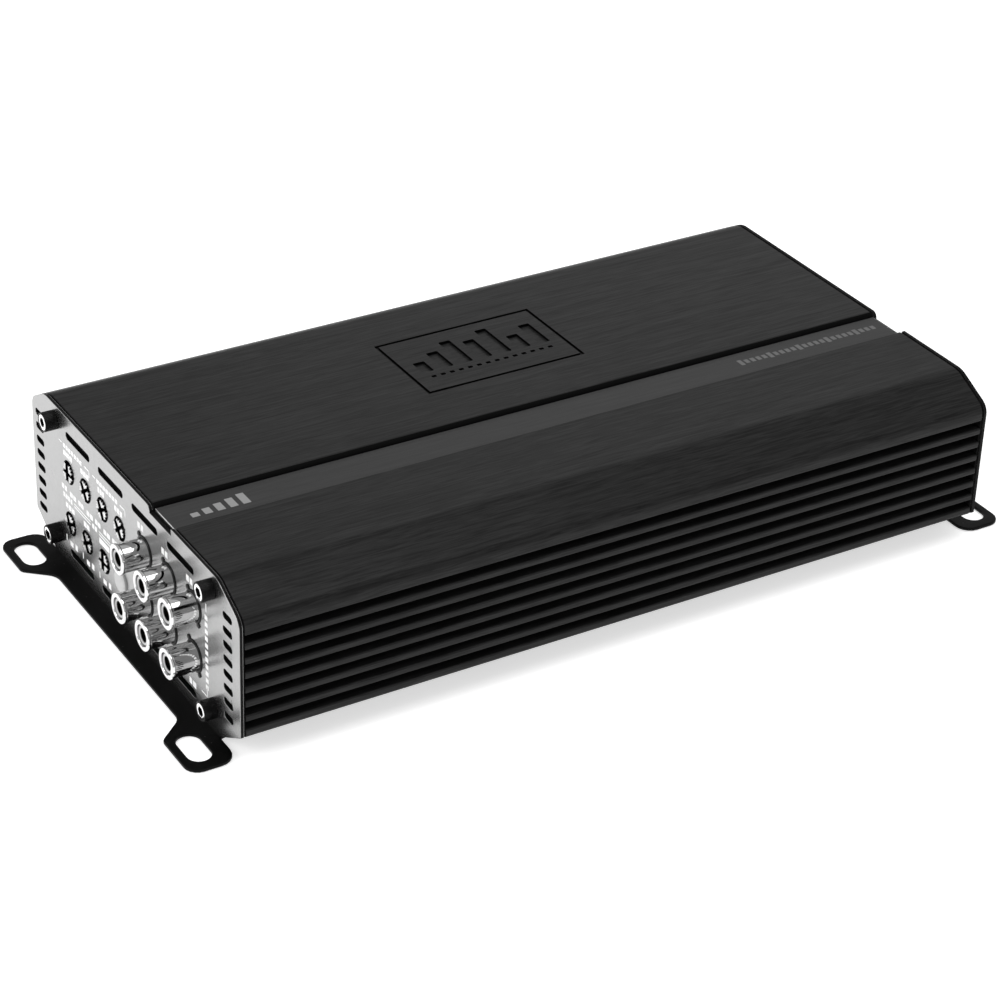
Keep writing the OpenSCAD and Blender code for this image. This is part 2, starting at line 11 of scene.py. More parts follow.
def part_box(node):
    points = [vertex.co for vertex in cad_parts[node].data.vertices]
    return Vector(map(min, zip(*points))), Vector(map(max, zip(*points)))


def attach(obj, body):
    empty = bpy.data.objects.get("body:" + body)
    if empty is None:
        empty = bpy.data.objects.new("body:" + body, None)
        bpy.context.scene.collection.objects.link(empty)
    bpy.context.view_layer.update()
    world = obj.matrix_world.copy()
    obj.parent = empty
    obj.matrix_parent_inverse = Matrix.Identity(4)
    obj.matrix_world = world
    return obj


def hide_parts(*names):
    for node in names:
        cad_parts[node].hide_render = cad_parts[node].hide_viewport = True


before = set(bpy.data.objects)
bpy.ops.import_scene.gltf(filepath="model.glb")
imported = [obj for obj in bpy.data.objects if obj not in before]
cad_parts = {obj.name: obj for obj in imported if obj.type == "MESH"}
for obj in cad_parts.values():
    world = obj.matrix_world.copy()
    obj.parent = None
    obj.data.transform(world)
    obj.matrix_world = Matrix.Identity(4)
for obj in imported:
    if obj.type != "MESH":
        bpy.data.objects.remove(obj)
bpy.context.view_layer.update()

MM = 0.001

# ---------------------------------------------------------------- sizes, in millimetres


def box_mm(node):
    """Lowest and highest corner of a CAD node, in millimetres."""
    lo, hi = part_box(node)
    return Vector(lo) / MM, Vector(hi) / MM


case_hi = box_mm("heatsink_case")[1]
tray_hi = box_mm("base_tray")[1]
plate_lo, plate_hi = box_mm("control_end_plate")
strip_lo, strip_hi = box_mm("accent_strip")

CASE_X = case_hi.x
END_X = -plate_lo.x
HALF_W = case_hi.y
TOP_Z = case_hi.z
SIDE_Z = tray_hi.z
PLATE_T = plate_hi.x - plate_lo.x
MOUTH_X = box_mm("rca_shell_1")[0].x

# section of the case
SHOULDER_IN = 12.1
SHOULDER_DROP = 6.2
REAR_SHOULDER_IN = 9.0
REAR_SHOULDER_DROP = 5.1
CORNER_R = 4.0
CREASE_R = 8.0
WALL_IN = 50.0
RAIL_IN = 39.5
CEILING_Z = TOP_Z - 4.5
GROOVES = 7
GROOVE_PITCH = 4.24
GROOVE_H = 2.35
GROOVE_D = 5.0
GROOVE_TOP = SIDE_Z + 29.8
FIN_TIP_R = 0.5
CHANNEL_D = 2.0
CHANNEL_LIP_R = 1.8
CHANNEL_Y = (strip_lo.y - 0.1, strip_hi.y + 0.1)
BELLY_RUN = 12.5
TRAY_T = 1.0
FLAT_Y = HALF_W - BELLY_RUN

# engraving in the roof
BADGE_C = (1.9, 20.95)
BADGE_SIZE = (50.4, 31.0)
BADGE_LINE = 0.95
BADGE_DEPTH = 0.7
BADGE_FOOT = 16.6
BADGE_LEVELS = (6.0, 9.5, 13.5, 11.0, 15.0, 8.0, 12.0)
BADGE_BAR = 3.6
BADGE_PITCH = 6.3
BADGE_DASHES = 14
BADGE_DASH_PITCH = 2.9

# an engraved floor smaller than this gets the same painted shade as the walls round it, in square
# metres
DARK_FLOOR = 3e-6

# printed marks on the strip: the first one's place, then the step to the next
LEVEL_MARKS = 5
LEVEL_MARK_X = -106.5
LEVEL_MARK_FOOT = -21.4
LEVEL_MARK_PITCH = 3.6
LEVEL_MARK_W = 2.2
SCALE_MARKS = 24
SCALE_MARK_C = (64.0, -18.0)
SCALE_MARK_PITCH = 2.0
SCALE_MARK_W = 1.3

# ends
SCREW_Y = 47.9
SCREW_Z = (8.1, TOP_Z - 4.9)
SCREW_HOLE_R = 1.7
SHANK_R = 1.5
CAP_R = 2.75
CAP_H = 3.6
LOW_HEAD_H = 1.65
VENT_H = 2.2
VENT_L = 15.6
VENT_Y = [-30.4 + 21 * i for i in range(4)]
VENT_Z = (SIDE_Z + 34.5, SIDE_Z - 2.45)
SIDE_VENT_L = 5.2
SIDE_VENT_H = 2.0
SIDE_VENT_Y = (-56.75, 58.45)
SIDE_VENT_Z = [SIDE_Z + 2.2 + i * GROOVE_PITCH for i in range(8)]

# feet
FLANGE_X = END_X + 5.3
FOOT_X = tray_hi.x
FOOT_Y = HALF_W - 2.0
FOOT_W = 16.0
SLOT_X = END_X + 7.4
SLOT_Y = 51.8
SLOT_L = 12.4
SLOT_W = 6.5
BASE_SCREW_X = (-100, 10, 100)
BASE_SCREW_Y = 42.75
BASE_SINK_R = 3.05

# openings in the terminal end plate
PORT_GAP = 0.3
FUSE_PORT_LOW = 26.3

# sockets and controls
RCA_PLACE = [(-37.65 + 14.4 * c, z) for z in (32.7, 17.8) for c in range(3)]
RCA_R = 4.0
RCA_LIP_R = 4.25
SHELL_WALL = 1.0
BORE_R = 1.93
COLLAR_R = 4.5
COLLAR_OUT = 0.3
POT_Y = [39.35 - 10.95 * i for i in range(4)]
POT_Z = (31.4, 15.2)
POT_PLACE = [(y, POT_Z[0]) for y in POT_Y] + [(y, POT_Z[1]) for y in POT_Y[:3]]
POT_REST = (90, 55, 60, 50, 65, 60, 90)
BUTTON_PLACE = (POT_Y[3], POT_Z[1])
BUTTON_R = 3.3
SHAFT_R = 3.0
SHAFT_OUT = 0.5
POT_HOLE_R = 3.5
INK_T = 0.03


# ---------------------------------------------------------------- outlines

def arc(centre, radius, start, end, steps):
    """Points of an arc; angles in degrees."""
    angles = [math.radians(start + (end - start) * i / steps) for i in range(steps + 1)]
    return [(centre[0] + radius * math.cos(a), centre[1] + radius * math.sin(a)) for a in angles]


def circle(centre, radius, steps=48):
    return arc(centre, radius, 0, 360, steps)[:-1]


def stadium(centre, length, height, steps=8):
    """A slot with round ends, lying along the first axis."""
    reach = (length - height) / 2
    right = arc((centre[0] + reach, centre[1]), height / 2, -90, 90, steps)
    left = arc((centre[0] - reach, centre[1]), height / 2, 90, 270, steps)
    return right + left


def rounded(corners, steps=5):
    """Outline from (u, v, radius) corners, each radius drawn as an arc."""
    points = []
    for i, (u, v, radius) in enumerate(corners):
        here = Vector((u, v))
        if radius == 0:
            points.append((u, v))
            continue
        before = (Vector(corners[i - 1][:2]) - here).normalized()
        after = (Vector(corners[(i + 1) % len(corners)][:2]) - here).normalized()
        half = before.angle(after) / 2
        centre = here + (before + after).normalized() * radius / math.sin(half)
        start = here + before * radius / math.tan(half) - centre
        end = here + after * radius / math.tan(half) - centre
        a0 = math.degrees(math.atan2(start.y, start.x))
        turn = (math.degrees(math.atan2(end.y, end.x)) - a0 + 540) % 360 - 180
        points += arc(centre, radius, a0, a0 + turn, steps)
    return points


def area(outline):
    pairs = zip(outline, outline[1:] + outline[:1])
    return sum(a[0] * b[1] - b[0] * a[1] for a, b in pairs) / 2


def inset(outline, distance):
    """The outline moved inwards by distance, with mitred corners; it has to run anticlockwise."""
    moved = []
    for i, point in enumerate(outline):
        here = Vector(point)
        into = (here - Vector(outline[i - 1])).normalized()
        out = (Vector(outline[(i + 1) % len(outline)]) - here).normalized()
        n1, n2 = Vector((-into.y, into.x)), Vector((-out.y, out.x))
        moved.append(here + (n1 + n2) * distance / max(0.3, 1 + n1.dot(n2)))
    return moved


# ---------------------------------------------------------------- meshes

SHARP_ANGLE = math.radians(32)
ALONG_X = Matrix(((0, 0, 1, 0), (1, 0, 0, 0), (0, 1, 0, 0), (0, 0, 0, 1)))
ALONG_Z = Matrix.Identity(4)


def slab(bm, outer, holes, t0, t1, edge, axis=ALONG_X, steps=2, face=0, rim=0, turn=0):
    """Adds a plate from t0 to t1 with its rims rounded by edge. Outlines lie across the axis."""
    levels = []
    for k in range(steps + 1):
        a = math.pi / 2 * k / steps
        levels.append((edge * (1 - math.sin(a)), edge * (1 - math.cos(a))))
    heights = [(d, t0 + t) for d, t in levels] + [(d, t1 - t) for d, t in reversed(levels)]
    rings, caps = [], []
    for outline, sign in [(outer, 1)] + [(h, -1) for h in holes]:
        outline = list(outline) if area(outline) > 0 else list(reversed(outline))
        loops = []
        for distance, t in heights:
            points = inset(outline, sign * distance)
            loops.append([bm.verts.new(MM * (axis @ Vector((p[0], p[1], t)))) for p in points])
        caps.append([Vector((p[0], p[1], 0)) for p in inset(outline, sign * edge)])
        for k, (lower, upper) in enumerate(zip(loops, loops[1:])):
            index = rim if k == steps else turn
            for i in range(len(lower)):
                j = (i + 1) % len(lower)
                bm.faces.new((lower[i], lower[j], upper[j], upper[i])).material_index = index
        rings.append(loops)
    triangles = tessellate_polygon(caps)
    for level in (0, -1):
        verts = [v for loops in rings for v in loops[level]]
        for triangle in triangles:
            bm.faces.new([verts[i] for i in triangle]).material_index = face
    return bm


def lathe(bm, profile, centre, steps=48, index=0, closed=True):
    """Adds a surface of revolution about a line along X; the profile is (x, radius) points."""
    rings = []
    for x, radius in profile:
        if radius == 0:
            rings.append([bm.verts.new(MM * Vector((x, *centre)))])
        else:
            ring = circle(centre, radius, steps)
            rings.append([bm.verts.new(MM * Vector((x, *p))) for p in ring])
    pairs = list(zip(rings, rings[1:]))
    if closed:
        pairs.append((rings[-1], rings[0]))
    for lower, upper in pairs:
        for i in range(steps):
            j = (i + 1) % steps
            quad = [lower[i % len(lower)], lower[j % len(lower)],
                    upper[j % len(upper)], upper[i % len(upper)]]
            quad = [v for k, v in enumerate(quad) if v not in quad[:k]]
            if len(quad) > 2:
                bm.faces.new(quad).material_index = index
    return bm


def dress(obj, materials, body, stands_for):
    """Gives a piece its materials and its body, and hides the CAD nodes that it stands for."""
    for material in materials:
        obj.data.materials.append(material)
    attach(obj, body)
    if stands_for:
        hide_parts(*stands_for)
    return obj


def weigh(obj):
    """Weights the normals by face area, so that wide faces stay flat up to their rounded rims."""
    modifier = obj.modifiers.new("normals", "WEIGHTED_NORMAL")
    modifier.weight = 100
    modifier.keep_sharp = True


def piece(name, bm, materials, body="chassis", stands_for=()):
    """A finished piece from a bmesh."""
    bmesh.ops.recalc_face_normals(bm, faces=bm.faces)
    for f in bm.faces:
        f.smooth = True
    mesh = bpy.data.meshes.new(name)
    bm.to_mesh(mesh)
    bm.free()
    mesh.set_sharp_from_angle(angle=SHARP_ANGLE)
    obj = bpy.data.objects.new(name, mesh)
    bpy.context.scene.collection.objects.link(obj)
    weigh(obj)
    return dress(obj, materials, body, stands_for)


def cut(obj, cutters):
    """Takes the cutters out of obj for good."""
    obj.modifiers.clear()
    for cutter in cutters:
        modifier = obj.modifiers.new("cut", "BOOLEAN")
        modifier.operation = "DIFFERENCE"
        modifier.solver = "EXACT"
        modifier.object = cutter
    graph = bpy.context.evaluated_depsgraph_get()
    mesh = bpy.data.meshes.new_from_object(obj.evaluated_get(graph))
    obj.modifiers.clear()
    obj.data = mesh
    mesh.set_sharp_from_angle(angle=SHARP_ANGLE)
    weigh(obj)
    for cutter in cutters:
        bpy.data.objects.remove(cutter)
    return obj


def cutter(bm):
    bmesh.ops.recalc_face_normals(bm, faces=bm.faces)
    mesh = bpy.data.meshes.new("cutter")
    bm.to_mesh(mesh)
    bm.free()
    obj = bpy.data.objects.new("cutter", mesh)
    bpy.context.scene.collection.objects.link(obj)
    return obj


# ---------------------------------------------------------------- materials

class Shader:
    """A small builder for one node material."""

    def __init__(self, name, colour, rough, metal=0.0, specular=0.5, coat=0.0, coat_rough=0.1):
        self.material = bpy.data.materials.new(name)
        self.material.use_nodes = True
        self.tree = self.material.node_tree
        self.bsdf = self.tree.nodes["Principled BSDF"]
        self.set("Base Color", (*colour, 1))
        self.set("Roughness", rough)
        self.set("Metallic", metal)
        self.set("Specular IOR Level", specular)
        self.set("Coat Weight", coat)
        self.set("Coat Roughness", coat_rough)
        self.coordinates = self.node("ShaderNodeTexCoord").outputs["Object"]
        self.height = None

    def node(self, kind, **values):
        made = self.tree.nodes.new(kind)
        for key, value in values.items():
            setattr(made, key, value)
        return made

    def link(self, source, target):
        self.tree.links.new(source, target)

    def set(self, socket, value):
        self.bsdf.inputs[socket].default_value = value

    def noise(self, scale, detail=3.0, rough=0.5, distortion=0.0, shift=(0, 0, 0)):
        """Noise in object space; scale is cells per metre along each axis."""
        mapping = self.node("ShaderNodeMapping")
        mapping.inputs["Scale"].default_value = scale
        mapping.inputs["Location"].default_value = shift
        self.link(self.coordinates, mapping.inputs["Vector"])
        noise = self.node("ShaderNodeTexNoise")
        noise.inputs["Scale"].default_value = 1.0
        noise.inputs["Detail"].default_value = detail
        noise.inputs["Roughness"].default_value = rough
        noise.inputs["Distortion"].default_value = distortion
        self.link(mapping.outputs["Vector"], noise.inputs["Vector"])
        return noise.outputs["Fac"]

    def cells(self, scale):
        """Distance to the nearest of many scattered points, in cells."""
        cells = self.node("ShaderNodeTexVoronoi")
        cells.inputs["Scale"].default_value = scale
        self.link(self.coordinates, cells.inputs["Vector"])
        return cells.outputs["Distance"]

    def ramp(self, source, stops):
        """Maps a value through (position, grey or colour) stops."""
        ramp = self.node("ShaderNodeValToRGB")
        elements = ramp.color_ramp.elements
        for i, (position, value) in enumerate(stops):
            element = elements[i] if i < 2 else elements.new(position)
            element.position = position
            element.color = (*value, 1) if isinstance(value, tuple) else (value, value, value, 1)
        self.link(source, ramp.inputs["Fac"])
        return ramp.outputs["Color"]

    def colour(self, source, stops):
        self.link(self.ramp(source, stops), self.bsdf.inputs["Base Color"])
        return self

    def roughness(self, source, low, high):
        remap = self.node("ShaderNodeMapRange")
        remap.inputs["From Min"].default_value = 0.25
        remap.inputs["From Max"].default_value = 0.75
        remap.inputs["To Min"].default_value = low
        remap.inputs["To Max"].default_value = high
        self.link(source, remap.inputs["Value"])
        self.link(remap.outputs["Result"], self.bsdf.inputs["Roughness"])
        return self

    def bump(self, source, millimetres):
        """Adds relief; calls stack."""
        bump = self.node("ShaderNodeBump")
        bump.inputs["Distance"].default_value = millimetres * MM
        bump.inputs["Strength"].default_value = 1.0
        self.link(source, bump.inputs["Height"])
        if self.height:
            self.link(self.height, bump.inputs["Normal"])
        self.height = bump.outputs["Normal"]
        self.link(self.height, self.bsdf.inputs["Normal"])
        return self


def grey(value):
    return (value, value, value)


def brushed_black(name, dark, light, rough, relief):
    """Black anodised aluminium brushed along the case."""
    s = Shader(name, grey(dark), rough, specular=0.14)
    fine = s.noise((75, 1700, 1700), detail=3, rough=0.6, distortion=1.1)
    broad = s.noise((26, 620, 620), detail=2, distortion=0.9, shift=(3, 1, 7))
    s.colour(fine, [(0.36, dark), (0.64, light)])
    s.roughness(broad, rough - 0.05, rough + 0.06)
    s.bump(fine, relief).bump(broad, relief)
    return s.material


def strip_finish():
    s = Shader("strip_finish", grey(0.032), 0.42, specular=0.2)
    grain = s.noise((70, 1700, 1700), detail=3, rough=0.6)
    s.colour(grain, [(0.3, 0.024), (0.7, 0.038)])
    s.roughness(grain, 0.38, 0.44)
    s.bump(grain, 0.002)
    return s.material


def satin_plate():
    """Smooth silver end plate, nearly a mirror at low angles."""
    s = Shader("satin_plate", grey(0.37), 0.26, metal=1.0)
    grain = s.noise((900, 500, 500), detail=3, rough=0.6)
    cloud = s.noise((30, 30, 30), detail=2)
    s.colour(grain, [(0.25, 0.352), (0.75, 0.385)])
    s.roughness(cloud, 0.24, 0.28)
    return s.material


def dark_edge():
    s = Shader("dark_edge", grey(0.006), 0.45, specular=0.06)
    grain = s.noise((400, 400, 400), detail=2)
    s.colour(grain, [(0.3, 0.004), (0.7, 0.009)])
    s.bump(grain, 0.01)
    return s.material


def powder_black():
    """Black powder coat on the folded tray, with a fine orange peel and a little dust."""
    s = Shader("powder_black", grey(0.003), 0.36, specular=0.07)
    peel = s.noise((1400, 1400, 1400), detail=2, rough=0.5)
    patch = s.noise((70, 70, 70), detail=3)
    dust = s.cells(420)
    s.colour(dust, [(0.0, 0.2), (0.06, 0.003)])
    s.roughness(patch, 0.32, 0.42)
    s.bump(peel, 0.008)
    return s.material


def bright_nickel(name, value, rough):
    s = Shader(name, grey(value), rough, metal=1.0)
    swirl = s.noise((260, 140, 140), detail=2)
    s.colour(swirl, [(0.3, value - 0.04), (0.7, value + 0.04)])
    s.roughness(swirl, rough * 0.8, rough * 1.3)
    s.bump(swirl, 0.0015)
    return s.material


def turned_steel(name, value, rough):
    s = Shader(name, grey(value), rough, metal=1.0)
    ring = s.noise((700, 500, 500), detail=3)
    s.colour(ring, [(0.3, value * 0.82), (0.7, value * 1.12)])
    s.roughness(ring, rough * 0.8, rough * 1.25)
    s.bump(ring, 0.006)
    return s.material


def black_oxide():
    s = Shader("black_oxide", grey(0.004), 0.24, specular=0.12)
    grain = s.noise((900, 900, 900), detail=3)
    s.colour(grain, [(0.3, 0.003), (0.75, 0.007)])
    s.roughness(grain, 0.2, 0.3)
    s.bump(grain, 0.005)
    return s.material


def moulded(name, colour, rough=0.42, speck=0.18, relief=0.01, coat=0.0, specular=0.5):
    """Moulded plastic with a fine erosion texture."""
    s = Shader(name, colour, rough, specular=specular, coat=coat)
    grain = s.noise((1600, 1600, 1600), detail=2)
    lo = tuple(c * (1 - speck) for c in colour)
    hi = tuple(min(1, c * (1 + speck)) for c in colour)
    s.colour(grain, [(0.3, lo), (0.7, hi)])
    s.roughness(grain, rough - 0.05, rough + 0.06)
    s.bump(grain, relief)
    return s.material


def rubber_black():
    s = Shader("rubber_black", grey(0.004), 0.75, specular=0.06)
    grain = s.noise((800, 800, 800), detail=3)
    s.colour(grain, [(0.3, 0.003), (0.7, 0.008)])
    s.bump(grain, 0.02)
    return s.material


def printed_ink(name, value):
    s = Shader(name, grey(value), 0.55, specular=0.3)
    grain = s.noise((2500, 2500, 2500), detail=2)
    s.colour(grain, [(0.3, value * 0.93), (0.7, min(1.0, value * 1.04))])
    s.bump(grain, 0.002)
    return s.material


def board_green():
    s = Shader("board_green", (0.01, 0.07, 0.03), 0.35, coat=0.4, coat_rough=0.25)
    tracks = s.cells(220)
    s.colour(tracks, [(0.25, (0.008, 0.05, 0.022)), (0.32, (0.02, 0.11, 0.05))])
    s.bump(tracks, 0.01)
    return s.material


def copper_wire():
    s = Shader("copper_wire", (0.62, 0.25, 0.1), 0.28, metal=1.0)
    strand = s.noise((200, 200, 1400), detail=2)
    s.colour(strand, [(0.3, (0.42, 0.15, 0.06)), (0.7, (0.72, 0.32, 0.14))])
    s.bump(strand, 0.08)
    return s.material


def brass_finish():
    s = Shader("brass_finish", (0.75, 0.55, 0.25), 0.22, metal=1.0)
    grain = s.noise((600, 600, 600), detail=3)
    s.colour(grain, [(0.3, (0.62, 0.43, 0.17)), (0.7, (0.82, 0.62, 0.3))])
    s.bump(grain, 0.006)
    return s.material


def can_sleeve():
    s = Shader("can_sleeve", (0.012, 0.012, 0.02), 0.25, coat=0.3)
    wrap = s.noise((150, 150, 60), detail=2)
    s.colour(wrap, [(0.35, (0.008, 0.008, 0.014)), (0.7, (0.02, 0.02, 0.034))])
    s.bump(wrap, 0.02)
    return s.material


CASE = brushed_black("brushed_black", 0.0055, 0.019, 0.4, 0.006)
STRIP = strip_finish()
PLATE = satin_plate()
EDGE = dark_edge()
POWDER = powder_black()
NICKEL = bright_nickel("bright_nickel", 0.72, 0.05)
SHAFT = turned_steel("shaft_steel", 0.6, 0.22)
ZINC = turned_steel("zinc_steel", 0.7, 0.3)
OXIDE = black_oxide()
WORN = bright_nickel("worn_steel", 0.9, 0.16)
RUBBER = rubber_black()
BLACK = moulded("black_moulding", grey(0.004), 0.38, 0.25, specular=0.25)
# painted shade: a near-black, barely glossy finish laid on bores, shaft cuts, tooth gaps, the
# channel's rear wall and the engraving, where shade falls
SHADE = moulded("painted_shade_black", grey(0.002), 0.6, 0.3, specular=0.04)
PALE = moulded("pale_moulding", grey(0.5), 0.35, 0.06)
# the button is white moulding; its grey is darker than that as painted shade for the shadowed place
# it sits in
SHADED_WHITE = moulded("white_moulding_painted_shade", grey(0.5), 0.35, 0.05)
FUSE = moulded("fuse_moulding", (0.03, 0.28, 0.08), 0.25, 0.1, 0.004, 0.3)
EPOXY = moulded("device_epoxy", grey(0.018), 0.5, 0.3)
SILICONE = moulded("silicone_pad", (0.32, 0.36, 0.4), 0.7, 0.1)
SHEET = moulded("insulating_sheet", (0.72, 0.66, 0.45), 0.45, 0.08)
FERRITE = moulded("ferrite_core", (0.08, 0.085, 0.07), 0.55, 0.25, 0.03)
BOARD = board_green()
COPPER = copper_wire()
BRASS = brass_finish()
CAN = can_sleeve()
INK = printed_ink("white_ink", 0.95)
GREY_INK = printed_ink("grey_ink", 0.3)
DIM_INK = printed_ink("dim_ink", 0.14)


# ---------------------------------------------------------------- case

def roof_corners(drop):
    """Corners from the rear wall over the roof and its channel to the front wall."""
    return [
        (HALF_W - drop, TOP_Z - REAR_SHOULDER_DROP, CORNER_R),
        (HALF_W - REAR_SHOULDER_IN, TOP_Z - drop, CREASE_R),
        (CHANNEL_Y[1], TOP_Z - drop, CHANNEL_LIP_R),
        (CHANNEL_Y[1], TOP_Z - CHANNEL_D, 0.1),
        (CHANNEL_Y[0], TOP_Z - CHANNEL_D, 0.1),
        (CHANNEL_Y[0], TOP_Z - drop, 0.25),
        (SHOULDER_IN - HALF_W, TOP_Z - drop, CREASE_R),
        (drop - HALF_W, TOP_Z - SHOULDER_DROP, CORNER_R),
    ]


def case_outline():
    """Section of the extrusion in Y and Z, with its fins, channel, board rails and open belly."""
    fins = []
    for i in range(GROOVES):
        top = GROOVE_TOP - i * GROOVE_PITCH
        low = top - GROOVE_H
        fins.append([(HALF_W, top, FIN_TIP_R), (HALF_W - GROOVE_D, top, 0.4),
                     (HALF_W - GROOVE_D, low, 0.4), (HALF_W, low, FIN_TIP_R)])
    right = [p for fin in fins for p in fin]
    left = [(-y, z, r) for y, z, r in reversed(right)]
    inner = [(WALL_IN, SIDE_Z), (WALL_IN, 4.9), (46, 4.9), (46, TRAY_T), (RAIL_IN, TRAY_T),
             (RAIL_IN, 7.1), (45, 7.1), (45, 9.1), (WALL_IN, 9.1), (WALL_IN, CEILING_Z - 3.5),
             (WALL_IN - 5, CEILING_Z)]
    rail = [(y, z, 0.2) for y, z in inner]
    corners = [(HALF_W, SIDE_Z, 0.5)] + list(reversed(right)) + roof_corners(0.0)
    corners += list(reversed(left)) + [(-HALF_W, SIDE_Z, 0.5)]
    corners += [(-y, z, r) for y, z, r in rail] + [(y, z, r) for y, z, r in reversed(rail)]
    return rounded(corners)


def bar(bm, axis, centre, size, t0, t1, radius=0.12):
    """A plain bar with rounded corners, lying across the axis from t0 to t1."""
    (u, v), (w, h) = centre, (size[0] / 2, size[1] / 2)
    radius = min(radius, 0.8 * w, 0.8 * h)
    outline = rounded([(u - w, v - h, radius), (u + w, v - h, radius), (u + w, v + h, radius),
                       (u - w, v + h, radius)], 3)
    slab(bm, outline, [], t0, t1, 0.0, axis, steps=1)


def badge_cutters():
    """Engraved frame with plain level bars and a row of dashes in it."""
    u, v = BADGE_C
    w, h = BADGE_SIZE
    bottom, above = TOP_Z - BADGE_DEPTH, TOP_Z + 1

    def rectangle(a, b):
        return [(u - a, v - b), (u + a, v - b), (u + a, v + b), (u - a, v + b)]

    bm = bmesh.new()
    slab(bm, rectangle(w / 2, h / 2), [rectangle(w / 2 - BADGE_LINE, h / 2 - BADGE_LINE)],
         bottom, above, 0.0, ALONG_Z, steps=1)
    frame_line = cutter(bm)
    bm = bmesh.new()
    for i, level in enumerate(BADGE_LEVELS):
        x = u + (i - (len(BADGE_LEVELS) - 1) / 2) * BADGE_PITCH
        bar(bm, ALONG_Z, (x, BADGE_FOOT + level / 2), (BADGE_BAR, level), bottom, above, 0.4)
    for i in range(BADGE_DASHES):
        x = u + (i - (BADGE_DASHES - 1) / 2) * BADGE_DASH_PITCH
        bar(bm, ALONG_Z, (x, BADGE_FOOT - 3.0), (1.5, 1.1), bottom, above, 0.3)
    return [frame_line, cutter(bm)]


def build_case():
    bm = bmesh.new()
    slab(bm, case_outline(), [], -CASE_X, CASE_X, 0.3, steps=2)
    case = piece("finned_case", bm, [CASE], stands_for=["heatsink_case"])
    cut(case, badge_cutters())
    case.data.materials.append(SHADE)
    # painted shade: the channel's rear wall, and the engraving's walls and small floors, get the
    # near-black shade material where they lie in deep shade
    for f in case.data.polygons:
        middle = f.center / MM
        across = middle.y - BADGE_C[1]
        channel = 0 < middle.y - CHANNEL_Y[1] + 0.1 < CHANNEL_LIP_R + 0.1 and abs(f.normal.x) < 0.5
        badge = abs(middle.x - BADGE_C[0]) < BADGE_SIZE[0] and abs(across) < BADGE_SIZE[1] / 2 + 1
        wall = abs(f.normal.z) < 0.5 or f.area < DARK_FLOOR
        if TOP_Z - CHANNEL_D - 0.1 < middle.z < TOP_Z - 0.12 and (channel or badge and wall):
            f.material_index = 1

    bm = bmesh.new()
    lo, hi = strip_lo, strip_hi
    section = rounded([(lo.y, lo.z, 0.05), (hi.y, lo.z, 0.05), (hi.y, hi.z, 0.2),
                       (lo.y, hi.z, 0.2)], 3)
    slab(bm, section, [], lo.x, hi.x, 0.19, turn=1)
    piece("roof_strip", bm, [STRIP, ZINC], stands_for=["accent_strip"])

    bm = bmesh.new()
    for i in range(LEVEL_MARKS):
        height = 2.0 + 0.8 * i
        middle = (LEVEL_MARK_X + LEVEL_MARK_PITCH * i, LEVEL_MARK_FOOT + height / 2)
        bar(bm, ALONG_Z, middle, (LEVEL_MARK_W, height), hi.z, hi.z + INK_T)
    piece("level_mark", bm, [GREY_INK])
    bm = bmesh.new()
    for i in range(SCALE_MARKS):
        middle = (SCALE_MARK_C[0] + SCALE_MARK_PITCH * i, SCALE_MARK_C[1])
        size = (SCALE_MARK_W, 2.0 if i % 5 else 3.0)
        bar(bm, ALONG_Z, middle, size, hi.z, hi.z + INK_T)
    piece("scale_mark", bm, [DIM_INK])


# ---------------------------------------------------------------- tray

def build_tray():
    y0 = FLAT_Y - 0.2
    x0 = END_X - 0.4
    foot = [(CASE_X - 1, y0, 0), (x0, y0 + 0.5, 1.0), (x0, FOOT_Y, 4.5), (FOOT_X, FOOT_Y, 4.0),
            (FOOT_X, FOOT_Y - FOOT_W, 2.4), (FLANGE_X, FOOT_Y - FOOT_W - 6.6, 5.0)]
    end = foot + [(x, -y, r) for x, y, r in reversed(foot)]
    outline = rounded(end + [(-x, y, r) for x, y, r in reversed(end)])
    slots = []
    for sx in (-1, 1):
        for sy in (-1, 1):
            along = stadium((sy * SLOT_Y, sx * SLOT_X), SLOT_L, SLOT_W, 12)
            slots.append([(x, y) for y, x in along])
    screws = [circle((x, sy * BASE_SCREW_Y), BASE_SINK_R, 32)
              for x in BASE_SCREW_X for sy in (-1, 1)]
    bm = bmesh.new()
    slab(bm, outline, slots + screws, 0, TRAY_T, 0.3, ALONG_Z)
    slope = (SIDE_Z - TRAY_T) / BELLY_RUN
    thick = TRAY_T * math.sqrt(1 + slope * slope)
    low_y = FLAT_Y - TRAY_T / slope
    for side in (-1, 1):
        wall = [(side * (low_y - 1.5), 0.1, 0), (side * low_y, 0.0, 1.0),
                (side * HALF_W, SIDE_Z, 0.1), (side * (HALF_W - thick / slope), SIDE_Z, 0.1),
                (side * (low_y + (TRAY_T - thick) / slope - 1.5), TRAY_T - 0.1, 0)]
        slab(bm, rounded(wall), [], -CASE_X, CASE_X, 0.1)
    piece("tray_pressing", bm, [POWDER], stands_for=["base_tray"])


# ---------------------------------------------------------------- end plates

def end_outline(drop):
    sides = [(HALF_W - drop, SIDE_Z, 0.3)] + roof_corners(drop) + [(drop - HALF_W, SIDE_Z, 0.3)]
    return rounded(sides + [(-FLAT_Y, TRAY_T + drop, 0.3), (FLAT_Y, TRAY_T + drop, 0.3)])


def plate_holes():
    holes = [circle((y, z), SCREW_HOLE_R, 24) for y in (-SCREW_Y, SCREW_Y) for z in SCREW_Z]
    holes += [stadium((y, z), VENT_L, VENT_H) for y in VENT_Y for z in VENT_Z]
    holes += [stadium((y, z), SIDE_VENT_L, SIDE_VENT_H, 6)
              for y in SIDE_VENT_Y for z in SIDE_VENT_Z]
    return holes


